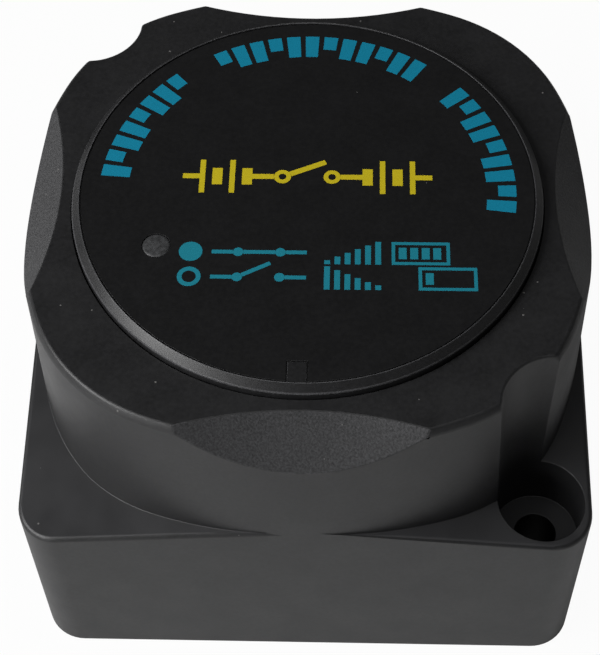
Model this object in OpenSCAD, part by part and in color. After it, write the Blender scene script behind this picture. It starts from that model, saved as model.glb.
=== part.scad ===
// Battery isolator relay: a black moulded housing with a square base and a rounded drum, closed on top
// by a cap with a printed disc. Inside, a coil pulls a plunger down and closes a heavy copper bridge.
// Millimetres. Origin on the base's bottom rim, under the middle of the drum. +Z up, front is -Y.

/* [Base] */
// Width and depth of the square base
base_w = 68; // [66:1:74]
// Radius of the base's upright corner edges
base_corner_r = 5; // [3:0.5:6]
// Height of the base's upper edge at the middle of each side
edge_mid_h = 31.2; // [30:0.2:34]
// How far that edge has fallen at the corner of the square
edge_fall = 3.4; // [1:0.2:5]
// Thickness of the base's walls
wall = 2.4; // [2:0.1:2.8]

/* [Drum] */
// Height of the drum's flat top above the bottom rim
body_h = 50.2; // [49:0.2:54]
// Radius of the drum's crowned sides in plan, at its foot
drum_side_r = 50; // [46:1:56]
// How far those sides would stand proud of the base's faces there, were they not cut off flush
drum_bulge = 0.3; // [0.1:0.05:0.5]
// How far the drum's side leans in from its foot to its top edge
drum_draft = 0.7; // [0.4:0.1:1]
// Radius of the drum's corners in plan, at its foot
drum_corner_r = 22.7; // [21:0.1:24]
// Width of the sloping edge round the drum's top, in plan
edge_w = 0.5; // [0.3:0.1:1]
// Height of that sloping edge
edge_h = 0.8; // [0.6:0.1:1.2]

/* [Finger scoops] */
// How far a scoop reaches in from the side at the flat top
scoop_depth = 4.6; // [3.8:0.1:4.8]
// How far a scoop reaches down the side
scoop_drop = 5.3; // [4:0.1:5.8]
// Radius of the scoop's hollow
scoop_r = 61; // [50:1:70]

/* [Screw holes] */
// Distance from the base's faces to the axis of a screw hole
screw_inset = 6; // [5.8:0.1:6.4]
// Radius of the hole for the screw
screw_r = 2.5; // [2:0.1:3]
// Radius of the counterbore for the screw's head
counterbore_r = 5.1; // [4.5:0.1:5.2]
// Height of the counterbore's floor
counterbore_floor = 20.5; // [16:0.5:24]
// Radius of the scallop in the drum above the counterbore, at the top
scallop_r = 6.4; // [6:0.1:6.8]
// Wall left round a screw hole inside the base
boss_wall = 2.2; // [2:0.1:2.6]

/* [Cap and label] */
// Radius of the cap
cap_r = 27.5; // [26.5:0.1:27.6]
// Gap between the cap and its seat
cap_gap = 0.15; // [0.1:0.01:0.2]
// Depth of the cap's seat below the drum's flat top
cap_seat = 2.6; // [2.2:0.1:3]
// How far the cap's outer shoulder stands above the drum's flat top
shoulder_h = 0.85; // [0.5:0.05:1.2]
// Height of the sloping rim above that shoulder
rim_h = 0.85; // [0.5:0.05:1]
// Width of the sloping rim in plan
rim_w = 0.9; // [0.6:0.1:1.2]
// Depth of the recess that holds the label
label_recess = 0.35; // [0.3:0.05:0.5]
// Thickness of the label
label_t = 0.25; // [0.15:0.05:0.28]
// Gap round the label
label_gap = 0.15; // [0.1:0.05:0.3]
// Width of the key tab that holds the label square
key_w = 2.1; // [1.5:0.1:3]
// How far the key tab reaches into the label
key_len = 2.7; // [1.5:0.1:4]

/* [Indicator] */
// Radius of the window in the label
lens_r = 1.6; // [1.5:0.05:1.8]
// How far the window lies to the left of the middle
lens_left = 17; // [15:0.5:19]
// How far the window lies to the front of the middle
lens_front = 8.3; // [6:0.1:9]
// Radius of the lamp's body
lamp_r = 1.45; // [1.2:0.05:1.45]

/* [Contact deck] */
// Height of the deck's underside above the bottom rim
deck_h = 14.5; // [14.3:0.1:15.5]
// Thickness of the deck
deck_t = 3; // [2.8:0.1:3.4]
// Gap between the deck and the housing
deck_gap = 0.2; // [0.15:0.01:0.3]
// Thickness of the gasket on top of the deck
gasket_t = 0.8; // [0.6:0.1:1.2]
// Thickness of the barrier rib between the terminals
barrier_t = 2; // [1.6:0.1:3]
// Gap between the foot of the barrier rib and the bottom rim
barrier_lift = 2; // [1:0.5:4]

/* [Terminals] */
// Distance from the middle to each terminal stud
stud_x = 15; // [14.6:0.1:15.4]
// Radius of a terminal stud
stud_r = 4; // [3.6:0.1:4]
// Gap between a stud's foot and the bottom rim
stud_lift = 1.2; // [0.8:0.1:2]
// Length of a stud's contact head
head_l = 16; // [15.6:0.1:16.2]
// Width of a stud's contact head and of the bridge
head_w = 12; // [10:0.5:13]
// Thickness of a stud's contact head
head_t = 2.5; // [2:0.1:3]
// Width of a terminal nut across its flats
nut_af = 13; // [12:0.5:13.5]
// Thickness of a terminal nut
nut_t = 6.5; // [5:0.1:6.6]
// Width of the cable slots in the left and right walls
slot_w = 15; // [12:0.5:18]
// Height of the cable slots
slot_h = 13; // [10:0.5:13.6]

/* [Contacts] */
// Radius of a contact tip
tip_r = 3.6; // [3:0.1:3.8]
// Thickness of a contact tip
tip_t = 0.8; // [0.6:0.1:0.9]
// Gap between the contact tips when the relay is open
contact_gap = 2; // [1.8:0.1:2.1]
// Thickness of the contact bridge
bridge_t = 2; // [1.6:0.1:2.2]
// Radius of the push rod
rod_r = 1.5; // [1.2:0.1:1.6]

/* [Coil] */
// Radius of the plunger
plunger_r = 6; // [5.5:0.1:6.2]
// Radius of the finished winding
winding_r = 14.2; // [12:0.1:14.4]
// Thickness of the yoke's steel
yoke_t = 1.8; // [1.5:0.1:1.9]
// Gap between the plunger and the core when the relay is open
plunger_gap = 2.1; // [2:0.05:2.4]

/* [Control board] */
// Radius of the control board
board_r = 24.5; // [24.2:0.1:24.6]
// Thickness of the control board
board_t = 1.6; // [1.2:0.1:1.7]

/* [Hidden] */

$fn = 96;
// Overrun of a cut past the face that it leaves
over = 0.5;
// Play between a fastener or shaft and the hole that it stands in
play = 0.05;

// Base and drum
half_w = base_w / 2;
fall_slope = edge_fall / half_w;
drum_a = half_w + drum_bulge;
drum_top_a = drum_a - drum_draft;
drum_foot = counterbore_floor;
drum_side_h = body_h - edge_h;

// Where the arcs of the drum's plan are centred: the sides' this far beyond the middle, the corners' this
// far from it both ways, so that side and corner meet without a kink
drum_back = drum_side_r - drum_a;
drum_c = (sqrt(2 * pow(drum_side_r - drum_corner_r, 2) - pow(drum_back, 2)) - drum_back) / 2;
drum_reach = drum_c * sqrt(2) + drum_corner_r - drum_draft;

// Screw holes on the front right and rear left corners
screw_x = half_w - screw_inset;
boss_r = scallop_r + boss_wall;

// Hollow of the housing
bay_a = half_w - wall;
bay_corner_r = base_corner_r - wall;
deck_top = deck_h + deck_t;
ledge_h = deck_top + gasket_t;
ledge_w = 1.2;
gasket_w = 1;
chamber_a = bay_a - ledge_w;
// The chamber's corners leave this much wall in the drum's corners, give or take a rounding step
corner_wall = 2.5;
round_step = 0.1;
chamber_r = round_step * round(
    (chamber_a * sqrt(2) - drum_reach + corner_wall) / (sqrt(2) - 1) / round_step);

// Fixings of the deck: two in the solid corners, two in pillars beside the screw holes
deck_screw_r = 1.5;
deck_screw_l = 9;
deck_screw_head_r = 2.7;
deck_screw_head_h = 1.8;
corner_fix_inset = 7.7;
corner_fix = half_w - corner_fix_inset;
pillar_r = 3.4;
pillar_inset = 4;
pillar_spare = 0.4;
pillar_fix_x = bay_a - pillar_inset;
pillar_fix_y = screw_x - boss_r - pillar_r - pillar_spare;

// Cap seat and roof
seat_w = 2.1;
seat_t = 2;
opening_r = cap_r - seat_w;
seat_r = cap_r + cap_gap;
seat_h = body_h - cap_seat;
roof_h = seat_h - seat_t;
shoulder_z = body_h + shoulder_h;
rim_z = shoulder_z + rim_h;
rim_flat = 0.1;
recess_r = cap_r - rim_w - rim_flat;
recess_z = rim_z - label_recess;
label_r = recess_r - label_gap;
cap_plate_t = 2;
cap_under = recess_z - cap_plate_t;
cap_skirt_t = 2.4;
key_left = 0.5;
key_play = 0.12;

// Contacts, from the deck upwards
head_z = deck_top + head_t;
fixed_tip_z = head_z + tip_t;
moving_tip_z = fixed_tip_z + contact_gap;
bridge_z = moving_tip_z + tip_t;
bridge_top = bridge_z + bridge_t;
tip_shift = 0.5;
tip_x = stud_x - tip_shift;
bridge_end = 1;
bridge_l = 2 * (tip_x + tip_r + bridge_end);
stud_len = deck_h - stud_lift;
stud_chamfer = 0.8;

// Bush, washer and clip on the rod
bush_flange_r = 4.6;
bush_flange_t = 1;
bush_r = 3.1;
washer_t = 0.8;
clip_r = 3;
clip_t = 0.8;
clip_z = bridge_z - washer_t - clip_t;
rod_tail = 0.8;
rod_foot = clip_z - rod_tail;
bush_top = bridge_top + bush_flange_t;

// Board, held below the cap by its tallest part
can_h = 3.4;
can_gap = 0.75;
board_lift = 0.9;
board_top = cap_under - can_gap - can_h;
board_z = board_top - board_t;

// Coil and yoke, between the contacts and the board, set out in shares of the height that is left there
plate_share = 0.12;
collar_share = 0.22;
core_share = 0.46;
frame_top = board_z - board_lift;
bobbin_top = frame_top - yoke_t;
coil_room = frame_top - bush_top;
plate_z = bush_top + plate_share * coil_room;
plate_top = plate_z + yoke_t;
bobbin_l = bobbin_top - plate_top;
bobbin_flange_t = 1;
flange_stand = 0.6;
bobbin_flange_r = winding_r + flange_stand;
guide_play = 0.1;
guide_r = plunger_r + guide_play;
guide_t = 0.4;
bobbin_bore_r = guide_r + guide_t + play;
bobbin_wall = 0.9;
core_top = bush_top + core_share * coil_room;
plunger_z = core_top + plunger_gap;
plunger_stand = 0.3;
plunger_top = frame_top + plunger_stand;
leg_gap = 1.6;
frame_leg_x = bobbin_flange_r + leg_gap;
frame_w = 22;
yoke_pillar_r = 3;
yoke_screw_r = 1.4;
yoke_screw_l = 7;
yoke_screw_head_r = 2.5;
yoke_screw_head_h = 1.6;
yoke_screw_gap = 1.1;
yoke_edge = 3.5;
yoke_fix = (bobbin_flange_r + yoke_screw_head_r + yoke_screw_gap) / sqrt(2);
plate_w = 2 * (yoke_fix + yoke_edge);

// Rod collar and contact spring, in the core's counterbore
collar_r = 3.2;
collar_t = 1;
collar_z = bush_top + collar_share * coil_room;
contact_spring_l = collar_z - bush_top;
core_pocket_r = 3.8;
collar_spare = 0.6;
core_pocket_top = collar_z + collar_t + collar_spare;

// Springs
contact_wire_r = 0.25;
contact_spring_play = 0.6;
contact_spring_r = rod_r + contact_wire_r + contact_spring_play;
contact_pitch = 1.24;
return_wire_r = 0.35;
return_spring_play = 0.3;
return_spring_r = clip_r + return_wire_r + return_spring_play;
return_pitch = 1.3;
spring_sides = 8;
spring_steps = 20;
spring_pocket = 1.2;
spring_pocket_play = 0.4;
spring_pocket_r = return_spring_r + return_wire_r + spring_pocket_play;
return_foot = deck_top - spring_pocket;
return_top = bridge_z - washer_t;

// The board's three shelves and what passes through it
board_gap = 0.3;
shelf_x = 22;
shelf_reach = 2.5;
shelf_w = 6;
shelf_t = 6.2;
board_screw_r = 1.2;
board_screw_l = 5;
board_screw_head_r = 2.1;
board_screw_head_h = 1.4;
pin_x = 4;
pin_inset = 1.6;
pin_y = bobbin_flange_r - pin_inset;
pin_r = 0.5;
pin_sink = 0.6;
pin_stand = 0.4;
strap_t = 0.8;
strap_w = 2.4;
strap_inset = 1.2;
strap_gap = 0.6;
strap_x = stud_x + head_l / 2 - strap_inset;
strap_y = shelf_w / 2 + strap_gap;
strap_foot = 1.4;
lamp_flange_r = 1.9;
lamp_flange_t = 0.8;

// Parts on the board
chip_l = 5;
chip_w = 4;
chip_h = 1.6;
leg_w = 0.4;
leg_l = 1;
leg_t = 0.2;
leg_pitch = 1.27;
driver_w = 6.6;
driver_l = 6.1;
driver_h = 2.3;
driver_tab = 1;
diode_l = 4.3;
diode_w = 2.6;
diode_h = 2.2;
can_r = 2.5;
can_base = 0.8;
resistor_l = 3.2;
resistor_w = 1.6;
resistor_h = 0.6;
resistor_pitch = 2.6;
resistor_count = 6;
chip_at = [4, 5];
driver_at = [12, -9];
diode_at = [9, 12.5];
can_at = [-9, 10];
can_pitch = 7;
resistor_at = [-6, -14];

// Washers and nuts, run up tight under the deck
flat_washer_r = 8;
flat_washer_t = 1.6;
spring_washer_r = 6.6;
spring_washer_t = 2;
spring_washer_split = 1;
flat_washer_z = deck_h - flat_washer_t;
spring_washer_z = flat_washer_z - spring_washer_t;
nut_z = spring_washer_z - nut_t;

// Gland for the earth wire, flush in the rear wall
gland_x = 12;
gland_z = 7.5;
gland_r = 2.8;
gland_flange_r = 4.2;
gland_flange_t = 1;
gland_bore_r = 1.5;

// Rounded square of half width a, with corners of radius r.
module rounded_square(a, r) {
    square([2 * a, 2 * (a - r)], center = true);
    square([2 * (a - r), 2 * a], center = true);
    for (x = [-1, 1], y = [-1, 1])
        translate([x * (a - r), y * (a - r)])
            circle(r);
}

// One part of the drum, turned from the drum's upright profile at radius r, which the foot has.
module drum_part(r) {
    rotate_extrude()
        polygon([
            [0, drum_foot], [r, drum_foot], [r - drum_draft, drum_side_h],
            [r - drum_draft - edge_w, body_h], [0, body_h]
        ]);
}

// Puts its children at both ends of the diagonal that has the screw holes.
module at_screws() {
    for (s = [-1, 1])
        translate([-s * screw_x, s * screw_x, 0])
            children();
}

// Puts its children at the four fixings of the deck.
module at_deck_screws() {
    for (s = [-1, 1]) {
        translate([s * corner_fix, s * corner_fix, 0])
            children();
        translate([s * pillar_fix_x, -s * pillar_fix_y, 0])
            children();
    }
}

// Puts its children at the four fixings of the yoke.
module at_yoke_screws() {
    for (x = [-1, 1], y = [-1, 1])
        translate([x * yoke_fix, y * yoke_fix, 0])
            children();
}

// Puts its children at the three shelves of the board, turned so that -X points inwards.
module at_shelves() {
    for (turn = [0, 90, 180])
        rotate([0, 0, turn])
            translate([shelf_x, 0, 0])
                children();
}

// Puts its children at both terminals, the left one turned to match the right one.
module at_terminals() {
    for (turn = [0, 180])
        rotate([0, 0, turn])
            translate([stud_x, 0, 0])
                children();
}

// Plan of the terminal bay under the deck, moved inwards by gap.
module bay_plan(gap) {
    difference() {
        rounded_square(bay_a - gap, bay_corner_r);
        for (s = [-1, 1])
            translate([-s * screw_x, s * screw_x])
                circle(boss_r + gap);
    }
}

// Plan of the relay chamber over the deck, moved outwards by grow.
module chamber_plan(grow) {
    difference() {
        rounded_square(chamber_a + grow, chamber_r + grow);
        for (s = [-1, 1]) {
            translate([-s * screw_x, s * screw_x])
                circle(boss_r + ledge_w - grow);
            translate([s * pillar_fix_x, -s * pillar_fix_y])
                circle(pillar_r - grow);
        }
    }
}

// A round-headed screw that hangs head down: the head's top is at z = 0, the shank goes up.
module screw_up(shank_r, shank_l, head_r, head_h) {
    cylinder(r = shank_r, h = shank_l);
    translate([0, 0, -head_h])
        difference() {
            cylinder(r1 = head_r - head_h / 4, r2 = head_r, h = head_h);
            translate([0, 0, -over])
                cylinder(r = shank_r, h = head_h / 2 + over, $fn = 6);
        }
}

// The same screw, head up.
module screw_down(shank_r, shank_l, head_r, head_h) {
    mirror([0, 0, 1])
        screw_up(shank_r, shank_l, head_r, head_h);
}

// Least gap between one turn and another of a wire whose middle follows the path.
function least_gap(path, wire) = min([
    for (i = [0 : len(path) - 1 - spring_steps / 2], j = [i + spring_steps / 2 : len(path) - 1])
        norm(path[j] - path[i])
]) - 2 * wire;

// A coil spring of round wire between z = 0 and z = l, its wire's middle at radius r.
module spring(r, wire, l, pitch) {
    sides = spring_sides;
    turns = (l - 2 * wire) / pitch;
    steps = ceil(turns * spring_steps);
    path = [
        for (i = [0 : steps])
            let (a = 360 * turns * i / steps)
            [r * cos(a), r * sin(a), wire + pitch * turns * i / steps]
    ];
    echo(turns = turns, least_gap = least_gap(path, wire));
    points = [
        for (i = [0 : steps], k = [0 : sides - 1])
            let (b = 360 * k / sides, out = 1 + wire * cos(b) / r)
            [path[i][0] * out, path[i][1] * out, path[i][2] + wire * sin(b)]
    ];
    sweep = [
        for (i = [0 : steps - 1], k = [0 : sides - 1])
            let (a = i * sides + k, b = i * sides + (k + 1) % sides)
            [a, b, b + sides, a + sides]
    ];
    start = [[for (k = [sides - 1 : -1 : 0]) k]];
    end = [[for (k = [0 : sides - 1]) steps * sides + k]];
    polyhedron(points = points, faces = concat(sweep, start, end));
}

// The square base, its upper edges falling from the middle of each side to the corners.
module base_block() {
    low_h = edge_mid_h - fall_slope * half_w;
    intersection() {
        linear_extrude(edge_mid_h)
            rounded_square(half_w, base_corner_r);
        for (turn = [0, 90])
            rotate([0, 0, turn])
                translate([0, half_w, 0])
                    rotate([90, 0, 0])
                        linear_extrude(base_w)
                            polygon([
                                [-half_w, 0], [half_w, 0], [half_w, low_h], [0, edge_mid_h],
                                [-half_w, low_h]
                            ]);
    }
}

// The drum, from inside the base up to its flat top: four crowned sides, with the corners between them.
module drum() {
    side_reach = 2 * drum_side_r;
    side_turn = atan(drum_c / (drum_c + drum_back));
    intersection() {
        for (turn = [0 : 90 : 270])
            rotate([0, 0, turn]) {
                translate([drum_c, drum_c, 0])
                    drum_part(drum_corner_r);
                translate([0, -drum_back, 0])
                    intersection() {
                        drum_part(drum_side_r);
                        linear_extrude(body_h + over)
                            polygon([
                                [0, 0], side_reach * [-sin(side_turn), cos(side_turn)],
                                side_reach * [sin(side_turn), cos(side_turn)]
                            ]);
                    }
            }
        linear_extrude(body_h + over)
            rounded_square(half_w, base_corner_r);
    }
}

// The hollow that a finger fits, cut aslant into the front of the drum.
module scoop() {
    slant = atan(scoop_drop / scoop_depth);
    translate([0, -drum_top_a + scoop_depth, body_h])
        rotate([slant - 90, 0, 0])
            translate([0, -scoop_r, 0])
                cylinder(r = scoop_r, h = 2 * scoop_drop + scoop_depth, center = true, $fn = 256);
}

// One screw hole: through hole, counterbore and the scallop in the drum above it.
module screw_hole() {
    translate([0, 0, -over])
        cylinder(r = screw_r, h = counterbore_floor + 2 * over);
    translate([0, 0, counterbore_floor])
        cylinder(r = counterbore_r, h = edge_mid_h - edge_fall - counterbore_floor);
    translate([0, 0, edge_mid_h - edge_fall])
        cylinder(r1 = counterbore_r, r2 = scallop_r, h = body_h - edge_mid_h + edge_fall + over);
}

module housing() {
    color([0.13, 0.13, 0.135])
    difference() {
        union() {
            difference() {
                union() {
                    base_block();
                    drum();
                }
                translate([0, 0, -over])
                    linear_extrude(ledge_h + over)
                        bay_plan(0);
                translate([0, 0, ledge_h - over])
                    linear_extrude(roof_h - ledge_h + over)
                        chamber_plan(0);
            }
            intersection() {
                at_shelves()
                    translate([-shelf_reach, -shelf_w / 2, board_z - shelf_t])
                        cube([chamber_a - shelf_x + shelf_reach + over, shelf_w, shelf_t]);
                cylinder(r = drum_top_a, h = body_h);
            }
        }
        translate([0, 0, roof_h - over])
            cylinder(r = opening_r, h = cap_seat + roof_h);
        translate([0, 0, seat_h])
            cylinder(r = seat_r, h = cap_seat + over);
        for (turn = [0 : 90 : 270])
            rotate([0, 0, turn])
                scoop();
        at_screws()
            screw_hole();
        at_deck_screws()
            translate([0, 0, ledge_h - over])
                cylinder(r = deck_screw_r + play, h = deck_screw_l - deck_t - gasket_t + 2 * over);
        at_shelves()
            translate([0, 0, board_z - board_screw_l + board_t - over])
                cylinder(r = board_screw_r + play, h = board_screw_l);
        translate([-base_w, -slot_w / 2, -over])
            cube([2 * base_w, slot_w, slot_h + over]);
        translate([gland_x, half_w, gland_z])
            rotate([90, 0, 0]) {
                cylinder(r = gland_r + play, h = 2 * wall, center = true);
                cylinder(r = gland_flange_r + play, h = 2 * gland_flange_t, center = true);
            }
    }
}

module top_cap() {
    color([0.14, 0.14, 0.145]) {
        difference() {
            rotate_extrude()
                polygon([
                    [0, cap_under], [cap_r - cap_skirt_t, cap_under], [cap_r - cap_skirt_t, seat_h],
                    [cap_r, seat_h], [cap_r, shoulder_z], [cap_r - rim_w, rim_z], [recess_r, rim_z],
                    [recess_r, recess_z], [0, recess_z]
                ]);
            translate([-lens_left, -lens_front, cap_under - over])
                cylinder(r = lens_r + play, h = cap_plate_t + 2 * over);
        }
        intersection() {
            translate([0, 0, recess_z])
                cylinder(r = recess_r, h = label_t);
            translate([-key_left - key_w / 2, -recess_r, recess_z])
                cube([key_w, key_len, label_t]);
        }
    }
}

module label_disc() {
    color([0.1, 0.1, 0.105])
    translate([0, 0, recess_z])
        linear_extrude(label_t)
            difference() {
                circle(label_r, $fn = 192);
                translate([-lens_left, -lens_front])
                    circle(lens_r + play);
                translate([-key_left - key_w / 2 - key_play, -recess_r])
                    square([key_w + 2 * key_play, key_len + key_play]);
            }
}

module indicator_window() {
    color([0.45, 0.45, 0.46])
    translate([-lens_left, -lens_front, recess_z - cap_plate_t / 2])
        cylinder(r = lens_r, h = cap_plate_t / 2 + label_t);
}

module status_lamp() {
    lamp_top = recess_z - cap_plate_t / 2 - play;
    color([0.75, 0.15, 0.12])
    translate([-lens_left, -lens_front, 0]) {
        translate([0, 0, board_top])
            cylinder(r = lamp_flange_r, h = lamp_flange_t);
        translate([0, 0, board_top])
            cylinder(r = lamp_r, h = lamp_top - lamp_r - board_top);
        translate([0, 0, lamp_top - lamp_r])
            sphere(lamp_r);
    }
}

module control_board() {
    color([0.1, 0.35, 0.2])
    translate([0, 0, board_z])
        linear_extrude(board_t)
            difference() {
                intersection() {
                    circle(board_r);
                    chamber_plan(-board_gap);
                }
                for (turn = [0, 90, 180])
                    rotate([0, 0, turn])
                        translate([shelf_x, 0])
                            circle(board_screw_r + play);
                for (x = [-1, 1])
                    translate([x * pin_x, pin_y])
                        circle(pin_r + play);
                for (s = [-1, 1])
                    translate([s * (strap_x + strap_t / 2), -s * (strap_y + strap_w / 2)])
                        square([strap_t + 2 * play, strap_w + 2 * play], center = true);
            }
}

module board_screws() {
    color([0.75, 0.76, 0.78])
    at_shelves()
        translate([0, 0, board_top])
            screw_down(board_screw_r, board_screw_l - over, board_screw_head_r, board_screw_head_h);
}

module voltage_monitor_chip() {
    translate([chip_at[0], chip_at[1], board_top]) {
        color([0.12, 0.12, 0.12])
        translate([-chip_l / 2, -chip_w / 2, leg_t])
            cube([chip_l, chip_w, chip_h]);
        color([0.75, 0.76, 0.78])
        for (side = [-1, 1], i = [-1.5 : 1 : 1.5])
            translate([i * leg_pitch - leg_w / 2, side * (chip_w / 2 + leg_l / 2) - leg_l, 0])
                cube([leg_w, 2 * leg_l, leg_t + leg_w]);
    }
}

module coil_driver_transistor() {
    translate([driver_at[0], driver_at[1], board_top]) {
        color([0.12, 0.12, 0.12])
        translate([-driver_w / 2, -driver_l / 2, 0])
            cube([driver_w, driver_l, driver_h]);
        color([0.75, 0.76, 0.78]) {
            translate([-driver_w / 2 + leg_w, driver_l / 2 - leg_t, 0])
                cube([driver_w - 2 * leg_w, driver_tab + leg_t, leg_w]);
            for (side = [-1, 1])
                translate([side * driver_w / 3 - leg_w, -driver_l / 2 - 2 * leg_l, 0])
                    cube([2 * leg_w, 2 * leg_l + leg_t, 2 * leg_w]);
        }
    }
}

module flyback_diode() {
    translate([diode_at[0], diode_at[1], board_top]) {
        color([0.12, 0.12, 0.12])
        translate([-diode_l / 2, -diode_w / 2, 0])
            cube([diode_l, diode_w, diode_h]);
        color([0.75, 0.76, 0.78])
        for (side = [-1, 1])
            translate([side * (diode_l / 2 + leg_w / 2) - leg_w, -diode_w / 4, 0])
                cube([2 * leg_w, diode_w / 2, diode_h / 2]);
    }
}

module smoothing_capacitors() {
    for (i = [0, 1])
        translate([can_at[0] + i * can_pitch, can_at[1], board_top]) {
            color([0.12, 0.12, 0.12])
            translate([-can_r, -can_r, 0])
                cube([2 * can_r, 2 * can_r, can_base]);
            color([0.78, 0.79, 0.8])
            translate([0, 0, can_base])
                cylinder(r = can_r, h = can_h - can_base);
        }
}

module chip_resistors() {
    color([0.15, 0.15, 0.15])
    for (i = [0 : resistor_count - 1])
        translate([resistor_at[0] + i * resistor_pitch, resistor_at[1], board_top])
            translate([-resistor_w / 2, -resistor_l / 2, 0])
                cube([resistor_w, resistor_l, resistor_h]);
}

module coil_bobbin() {
    color([0.85, 0.83, 0.76])
    difference() {
        rotate_extrude()
            polygon([
                [bobbin_bore_r, plate_top],
                [bobbin_flange_r, plate_top],
                [bobbin_flange_r, plate_top + bobbin_flange_t],
                [bobbin_bore_r + bobbin_wall, plate_top + bobbin_flange_t],
                [bobbin_bore_r + bobbin_wall, bobbin_top - bobbin_flange_t],
                [bobbin_flange_r, bobbin_top - bobbin_flange_t],
                [bobbin_flange_r, bobbin_top],
                [bobbin_bore_r, bobbin_top]
            ]);
        for (x = [-1, 1])
            translate([x * pin_x, pin_y, bobbin_top - pin_sink])
                cylinder(r = pin_r + play, h = pin_sink + over);
    }
}

module coil_winding() {
    color([0.72, 0.4, 0.2])
    translate([0, 0, plate_top + bobbin_flange_t])
        difference() {
            cylinder(r = winding_r, h = bobbin_l - 2 * bobbin_flange_t);
            translate([0, 0, -over])
                cylinder(r = bobbin_bore_r + bobbin_wall, h = bobbin_l);
        }
}

module coil_pins() {
    color([0.78, 0.79, 0.8])
    for (x = [-1, 1])
        translate([x * pin_x, pin_y, bobbin_top - pin_sink])
            cylinder(r = pin_r, h = board_top + pin_stand - bobbin_top + pin_sink);
}

module yoke_frame() {
    color([0.7, 0.71, 0.73])
    difference() {
        translate([0, frame_w / 2, 0])
            rotate([90, 0, 0])
                linear_extrude(frame_w)
                    difference() {
                        translate([-frame_leg_x - yoke_t, plate_top])
                            square([2 * (frame_leg_x + yoke_t), frame_top - plate_top]);
                        translate([-frame_leg_x, plate_top - over])
                            square([2 * frame_leg_x, bobbin_l + over]);
                    }
        translate([0, 0, bobbin_top - over])
            cylinder(r = guide_r, h = yoke_t + 2 * over);
    }
}

module yoke_plate() {
    color([0.7, 0.71, 0.73])
    translate([0, 0, plate_z])
        linear_extrude(yoke_t)
            difference() {
                square([2 * (frame_leg_x + yoke_t), plate_w], center = true);
                circle(core_pocket_r);
                for (x = [-1, 1], y = [-1, 1])
                    translate([x * yoke_fix, y * yoke_fix])
                        circle(yoke_screw_r + play);
            }
}

module yoke_screws() {
    color([0.75, 0.76, 0.78])
    at_yoke_screws()
        translate([0, 0, plate_top])
            screw_down(yoke_screw_r, yoke_screw_l, yoke_screw_head_r, yoke_screw_head_h);
}

module fixed_core() {
    color([0.66, 0.67, 0.69])
    difference() {
        translate([0, 0, plate_top])
            cylinder(r = guide_r - play, h = core_top - plate_top);
        translate([0, 0, plate_z])
            cylinder(r = core_pocket_r, h = core_pocket_top - plate_z);
        translate([0, 0, plate_z])
            cylinder(r = rod_r + play, h = core_top - plate_z + over);
    }
}

module plunger_guide() {
    color([0.78, 0.62, 0.3])
    translate([0, 0, plate_top])
        difference() {
            cylinder(r = guide_r + guide_t, h = bobbin_l);
            translate([0, 0, -over])
                cylinder(r = guide_r, h = bobbin_l + 2 * over);
        }
}

module plunger() {
    color([0.66, 0.67, 0.69])
    translate([0, 0, plunger_z])
        difference() {
            cylinder(r = plunger_r, h = plunger_top - plunger_z);
            translate([0, 0, -over])
                cylinder(r = rod_r + play, h = plunger_top - plunger_z - yoke_t + over);
        }
}

module push_rod() {
    color([0.75, 0.76, 0.78]) {
        translate([0, 0, rod_foot])
            cylinder(r = rod_r, h = plunger_top - yoke_t - rod_foot);
        translate([0, 0, collar_z])
            cylinder(r = collar_r, h = collar_t);
    }
}

module contact_bridge() {
    color([0.8, 0.48, 0.3])
    translate([0, 0, bridge_z])
        linear_extrude(bridge_t)
            difference() {
                square([bridge_l, head_w], center = true);
                circle(bush_r + play);
            }
}

module moving_contact_tips() {
    color([0.85, 0.86, 0.88])
    for (s = [-1, 1])
        translate([s * tip_x, 0, moving_tip_z])
            cylinder(r = tip_r, h = tip_t);
}

module bridge_bush() {
    color([0.85, 0.83, 0.76])
    translate([0, 0, bridge_z])
        difference() {
            union() {
                cylinder(r = bush_r, h = bridge_t);
                translate([0, 0, bridge_t])
                    cylinder(r = bush_flange_r, h = bush_flange_t);
            }
            translate([0, 0, -over])
                cylinder(r = rod_r + play, h = bridge_t + bush_flange_t + 2 * over);
        }
}

module bridge_washer() {
    color([0.85, 0.83, 0.76])
    translate([0, 0, bridge_z - washer_t])
        difference() {
            cylinder(r = bush_flange_r, h = washer_t);
            translate([0, 0, -over])
                cylinder(r = rod_r + play, h = washer_t + 2 * over);
        }
}

module rod_clip() {
    color([0.6, 0.61, 0.63])
    translate([0, 0, clip_z])
        linear_extrude(clip_t)
            difference() {
                circle(clip_r);
                circle(rod_r + play);
                translate([-rod_r, -2 * clip_r])
                    square([2 * rod_r, 2 * clip_r]);
            }
}

module contact_spring() {
    color([0.7, 0.71, 0.73])
    translate([0, 0, bush_top])
        spring(contact_spring_r, contact_wire_r, contact_spring_l, contact_pitch);
}

module return_spring() {
    color([0.7, 0.71, 0.73])
    translate([0, 0, return_foot])
        spring(return_spring_r, return_wire_r, return_top - return_foot, return_pitch);
}

// One terminal stud: a square contact head over the deck and a round shank through it.
module terminal_stud() {
    color([0.8, 0.48, 0.3]) {
        translate([-head_l / 2, -head_w / 2, deck_top])
            cube([head_l, head_w, head_t]);
        translate([0, 0, stud_lift + stud_chamfer])
            cylinder(r = stud_r, h = head_z - stud_lift - stud_chamfer - over);
        translate([0, 0, stud_lift])
            cylinder(r1 = stud_r - stud_chamfer, r2 = stud_r, h = stud_chamfer);
    }
}

module terminal_stud_left() {
    translate([-stud_x, 0, 0])
        terminal_stud();
}

module terminal_stud_right() {
    translate([stud_x, 0, 0])
        terminal_stud();
}

module fixed_contact_tips() {
    color([0.85, 0.86, 0.88])
    for (s = [-1, 1])
        translate([s * tip_x, 0, head_z])
            cylinder(r = tip_r, h = tip_t);
}

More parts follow.
